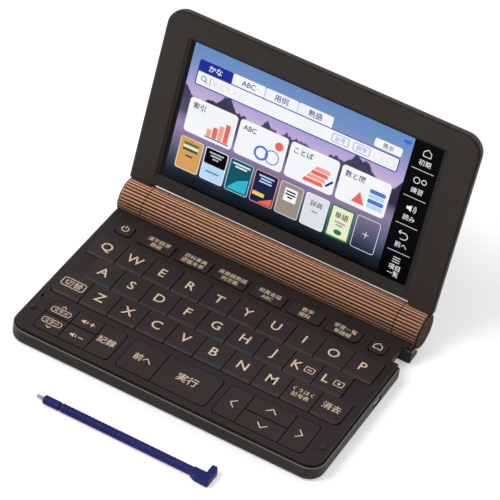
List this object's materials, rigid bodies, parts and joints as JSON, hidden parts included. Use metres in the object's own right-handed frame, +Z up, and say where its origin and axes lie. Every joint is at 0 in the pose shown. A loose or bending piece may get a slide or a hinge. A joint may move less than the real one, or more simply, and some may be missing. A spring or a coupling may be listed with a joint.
{
  "type": "electronic dictionary",
  "caption": "Pocket electronic dictionary with a keyboard base, ribbed battery barrel hinge, leaning touch-screen lid and a loose stylus.",
  "frame": {"origin": "table level under the middle of the whole assembly's box, lid open and stylus in front", "axes": "+X to the right along the keyboard, +Y from the user towards the hinge, +Z up"},
  "size_m": [0.148, 0.15, 0.0996],
  "materials": {
    "case_plastic": "fine moulded texture, very dark warm brown",
    "copper_plastic": "ribbed, satin metallic copper paint",
    "key_plastic": "smooth matt, printed legends",
    "board": "solder mask over glass fibre board",
    "cell": "sleeved steel can",
    "screw_steel": "dark plated",
    "pad_rubber": "matt",
    "panel_glass": "clear, gloss",
    "display": "lit display behind the touch panel",
    "stylus_plastic": "satin moulded navy blue",
    "tip_plastic": "smooth pale grey"
  },
  "bodies": {
    "base": {"lower_case": "case_plastic", "upper_case": "case_plastic", "hinge_barrel": "copper_plastic", "batteries": "cell", "main_board": "board", "case_screws": "screw_steel", "rubber_pads": "pad_rubber"},
    "lid": {"lid_rear_cover": "case_plastic", "lid_bezel": "case_plastic", "touch_panel": "panel_glass", "display_module": "display", "hinge_knuckles": "copper_plastic"},
    "battery_cover": {"battery_cover": "copper_plastic"},
    "stylus": {"stylus_body": "stylus_plastic", "stylus_tip": "tip_plastic"},
    "key_q": {"key_q": "key_plastic"},
    "key_w": {"key_w": "key_plastic"},
    "key_e": {"key_e": "key_plastic"},
    "key_r": {"key_r": "key_plastic"},
    "key_t": {"key_t": "key_plastic"},
    "key_y": {"key_y": "key_plastic"},
    "key_u": {"key_u": "key_plastic"},
    "key_i": {"key_i": "key_plastic"},
    "key_o": {"key_o": "key_plastic"},
    "key_p": {"key_p": "key_plastic"},
    "key_a": {"key_a": "key_plastic"},
    "key_s": {"key_s": "key_plastic"},
    "key_d": {"key_d": "key_plastic"},
    "key_f": {"key_f": "key_plastic"},
    "key_g": {"key_g": "key_plastic"},
    "key_h": {"key_h": "key_plastic"},
    "key_j": {"key_j": "key_plastic"},
    "key_k": {"key_k": "key_plastic"},
    "key_l": {"key_l": "key_plastic"},
    "key_z": {"key_z": "key_plastic"},
    "key_x": {"key_x": "key_plastic"},
    "key_c": {"key_c": "key_plastic"},
    "key_v": {"key_v": "key_plastic"},
    "key_b": {"key_b": "key_plastic"},
    "key_n": {"key_n": "key_plastic"},
    "key_m": {"key_m": "key_plastic"},
    "key_shift": {"key_shift": "key_plastic"},
    "key_space": {"key_space": "key_plastic"},
    "key_delete": {"key_delete": "key_plastic"},
    "key_function_1": {"key_function_1": "key_plastic"},
    "key_function_2": {"key_function_2": "key_plastic"},
    "key_function_3": {"key_function_3": "key_plastic"},
    "key_function_4": {"key_function_4": "key_plastic"},
    "key_function_5": {"key_function_5": "key_plastic"},
    "key_function_6": {"key_function_6": "key_plastic"},
    "key_power": {"key_power": "key_plastic"},
    "key_home": {"key_home": "key_plastic"},
    "key_font_size": {"key_font_size": "key_plastic"},
    "key_volume": {"key_volume": "key_plastic"},
    "key_history": {"key_history": "key_plastic"},
    "key_back": {"key_back": "key_plastic"},
    "key_enter": {"key_enter": "key_plastic"},
    "key_left": {"key_left": "key_plastic"},
    "key_up_down": {"key_up_down": "key_plastic"},
    "key_right": {"key_right": "key_plastic"}
  },
  "joints": [
    {"name": "lid_hinge", "type": "hinge", "parent": "base", "child": "lid", "pos_m": [0, 0.0471, 0.0105], "axis": [-1, 0, 0], "range_deg": [-104.6, 40]},
    {"name": "battery_cover_pull", "type": "slide", "parent": "base", "child": "battery_cover", "axis": [0, 1, 0], "range_m": [0, 0.025]},
    {"name": "stylus_lift", "type": "slide", "parent": "base", "child": "stylus", "axis": [0, 0, 1], "range_m": [0, 0.05]},
    {"name": "key_q_press", "type": "slide", "parent": "base", "child": "key_q", "axis": [0, 0, -1], "range_m": [0, 0.0006], "stiffness_N_per_m": 500, "springref_m": -0.0002},
    {"name": "key_w_press", "type": "slide", "parent": "base", "child": "key_w", "axis": [0, 0, -1], "range_m": [0, 0.0006], "stiffness_N_per_m": 500, "springref_m": -0.0002},
    {"name": "key_e_press", "type": "slide", "parent": "base", "child": "key_e", "axis": [0, 0, -1], "range_m": [0, 0.0006], "stiffness_N_per_m": 500, "springref_m": -0.0002},
    {"name": "key_r_press", "type": "slide", "parent": "base", "child": "key_r", "axis": [0, 0, -1], "range_m": [0, 0.0006], "stiffness_N_per_m": 500, "springref_m": -0.0002},
    {"name": "key_t_press", "type": "slide", "parent": "base", "child": "key_t", "axis": [0, 0, -1], "range_m": [0, 0.0006], "stiffness_N_per_m": 500, "springref_m": -0.0002},
    {"name": "key_y_press", "type": "slide", "parent": "base", "child": "key_y", "axis": [0, 0, -1], "range_m": [0, 0.0006], "stiffness_N_per_m": 500, "springref_m": -0.0002},
    {"name": "key_u_press", "type": "slide", "parent": "base", "child": "key_u", "axis": [0, 0, -1], "range_m": [0, 0.0006], "stiffness_N_per_m": 500, "springref_m": -0.0002},
    {"name": "key_i_press", "type": "slide", "parent": "base", "child": "key_i", "axis": [0, 0, -1], "range_m": [0, 0.0006], "stiffness_N_per_m": 500, "springref_m": -0.0002},
    {"name": "key_o_press", "type": "slide", "parent": "base", "child": "key_o", "axis": [0, 0, -1], "range_m": [0, 0.0006], "stiffness_N_per_m": 500, "springref_m": -0.0002},
    {"name": "key_p_press", "type": "slide", "parent": "base", "child": "key_p", "axis": [0, 0, -1], "range_m": [0, 0.0006], "stiffness_N_per_m": 500, "springref_m": -0.0002},
    {"name": "key_a_press", "type": "slide", "parent": "base", "child": "key_a", "axis": [0, 0, -1], "range_m": [0, 0.0006], "stiffness_N_per_m": 500, "springref_m": -0.0002},
    {"name": "key_s_press", "type": "slide", "parent": "base", "child": "key_s", "axis": [0, 0, -1], "range_m": [0, 0.0006], "stiffness_N_per_m": 500, "springref_m": -0.0002},
    {"name": "key_d_press", "type": "slide", "parent": "base", "child": "key_d", "axis": [0, 0, -1], "range_m": [0, 0.0006], "stiffness_N_per_m": 500, "springref_m": -0.0002},
    {"name": "key_f_press", "type": "slide", "parent": "base", "child": "key_f", "axis": [0, 0, -1], "range_m": [0, 0.0006], "stiffness_N_per_m": 500, "springref_m": -0.0002},
    {"name": "key_g_press", "type": "slide", "parent": "base", "child": "key_g", "axis": [0, 0, -1], "range_m": [0, 0.0006], "stiffness_N_per_m": 500, "springref_m": -0.0002},
    {"name": "key_h_press", "type": "slide", "parent": "base", "child": "key_h", "axis": [0, 0, -1], "range_m": [0, 0.0006], "stiffness_N_per_m": 500, "springref_m": -0.0002},
    {"name": "key_j_press", "type": "slide", "parent": "base", "child": "key_j", "axis": [0, 0, -1], "range_m": [0, 0.0006], "stiffness_N_per_m": 500, "springref_m": -0.0002},
    {"name": "key_k_press", "type": "slide", "parent": "base", "child": "key_k", "axis": [0, 0, -1], "range_m": [0, 0.0006], "stiffness_N_per_m": 500, "springref_m": -0.0002},
    {"name": "key_l_press", "type": "slide", "parent": "base", "child": "key_l", "axis": [0, 0, -1], "range_m": [0, 0.0006], "stiffness_N_per_m": 500, "springref_m": -0.0002},
    {"name": "key_z_press", "type": "slide", "parent": "base", "child": "key_z", "axis": [0, 0, -1], "range_m": [0, 0.0006], "stiffness_N_per_m": 500, "springref_m": -0.0002},
    {"name": "key_x_press", "type": "slide", "parent": "base", "child": "key_x", "axis": [0, 0, -1], "range_m": [0, 0.0006], "stiffness_N_per_m": 500, "springref_m": -0.0002},
    {"name": "key_c_press", "type": "slide", "parent": "base", "child": "key_c", "axis": [0, 0, -1], "range_m": [0, 0.0006], "stiffness_N_per_m": 500, "springref_m": -0.0002},
    {"name": "key_v_press", "type": "slide", "parent": "base", "child": "key_v", "axis": [0, 0, -1], "range_m": [0, 0.0006], "stiffness_N_per_m": 500, "springref_m": -0.0002},
    {"name": "key_b_press", "type": "slide", "parent": "base", "child": "key_b", "axis": [0, 0, -1], "range_m": [0, 0.0006], "stiffness_N_per_m": 500, "springref_m": -0.0002},
    {"name": "key_n_press", "type": "slide", "parent": "base", "child": "key_n", "axis": [0, 0, -1], "range_m": [0, 0.0006], "stiffness_N_per_m": 500, "springref_m": -0.0002},
    {"name": "key_m_press", "type": "slide", "parent": "base", "child": "key_m", "axis": [0, 0, -1], "range_m": [0, 0.0006], "stiffness_N_per_m": 500, "springref_m": -0.0002},
    {"name": "key_shift_press", "type": "slide", "parent": "base", "child": "key_shift", "axis": [0, 0, -1], "range_m": [0, 0.0006], "stiffness_N_per_m": 500, "springref_m": -0.0002},
    {"name": "key_space_press", "type": "slide", "parent": "base", "child": "key_space", "axis": [0, 0, -1], "range_m": [0, 0.0006], "stiffness_N_per_m": 500, "springref_m": -0.0002},
    {"name": "key_delete_press", "type": "slide", "parent": "base", "child": "key_delete", "axis": [0, 0, -1], "range_m": [0, 0.0006], "stiffness_N_per_m": 500, "springref_m": -0.0002},
    {"name": "key_function_1_press", "type": "slide", "parent": "base", "child": "key_function_1", "axis": [0, 0, -1], "range_m": [0, 0.0006], "stiffness_N_per_m": 500, "springref_m": -0.0002},
    {"name": "key_function_2_press", "type": "slide", "parent": "base", "child": "key_function_2", "axis": [0, 0, -1], "range_m": [0, 0.0006], "stiffness_N_per_m": 500, "springref_m": -0.0002},
    {"name": "key_function_3_press", "type": "slide", "parent": "base", "child": "key_function_3", "axis": [0, 0, -1], "range_m": [0, 0.0006], "stiffness_N_per_m": 500, "springref_m": -0.0002},
    {"name": "key_function_4_press", "type": "slide", "parent": "base", "child": "key_function_4", "axis": [0, 0, -1], "range_m": [0, 0.0006], "stiffness_N_per_m": 500, "springref_m": -0.0002},
    {"name": "key_function_5_press", "type": "slide", "parent": "base", "child": "key_function_5", "axis": [0, 0, -1], "range_m": [0, 0.0006], "stiffness_N_per_m": 500, "springref_m": -0.0002},
    {"name": "key_function_6_press", "type": "slide", "parent": "base", "child": "key_function_6", "axis": [0, 0, -1], "range_m": [0, 0.0006], "stiffness_N_per_m": 500, "springref_m": -0.0002},
    {"name": "key_power_press", "type": "slide", "parent": "base", "child": "key_power", "axis": [0, 0, -1], "range_m": [0, 0.0006], "stiffness_N_per_m": 500, "springref_m": -0.0002},
    {"name": "key_home_press", "type": "slide", "parent": "base", "child": "key_home", "axis": [0, 0, -1], "range_m": [0, 0.0006], "stiffness_N_per_m": 500, "springref_m": -0.0002},
    {"name": "key_font_size_rock", "type": "hinge", "parent": "base", "child": "key_font_size", "pos_m": [-0.05776, -0.0345, 0.0072], "axis": [1, 0, 0], "range_deg": [-3, 3], "stiffness_Nm_per_rad": 0.05},
    {"name": "key_volume_rock", "type": "hinge", "parent": "base", "child": "key_volume", "pos_m": [-0.04533, -0.0345, 0.0072], "axis": [1, 0, 0], "range_deg": [-3, 3], "stiffness_Nm_per_rad": 0.05},
    {"name": "key_history_press", "type": "slide", "parent": "base", "child": "key_history", "axis": [0, 0, -1], "range_m": [0, 0.0006], "stiffness_N_per_m": 500, "springref_m": -0.0002},
    {"name": "key_back_press", "type": "slide", "parent": "base", "child": "key_back", "axis": [0, 0, -1], "range_m": [0, 0.0006], "stiffness_N_per_m": 500, "springref_m": -0.0002},
    {"name": "key_enter_press", "type": "slide", "parent": "base", "child": "key_enter", "axis": [0, 0, -1], "range_m": [0, 0.0006], "stiffness_N_per_m": 500, "springref_m": -0.0002},
    {"name": "key_left_press", "type": "slide", "parent": "base", "child": "key_left", "axis": [0, 0, -1], "range_m": [0, 0.0006], "stiffness_N_per_m": 500, "springref_m": -0.0002},
    {"name": "key_up_down_rock", "type": "hinge", "parent": "base", "child": "key_up_down", "pos_m": [0.0422, -0.0355, 0.0072], "axis": [1, 0, 0], "range_deg": [-3, 3], "stiffness_Nm_per_rad": 0.05},
    {"name": "key_right_press", "type": "slide", "parent": "base", "child": "key_right", "axis": [0, 0, -1], "range_m": [0, 0.0006], "stiffness_N_per_m": 500, "springref_m": -0.0002}
  ]
}
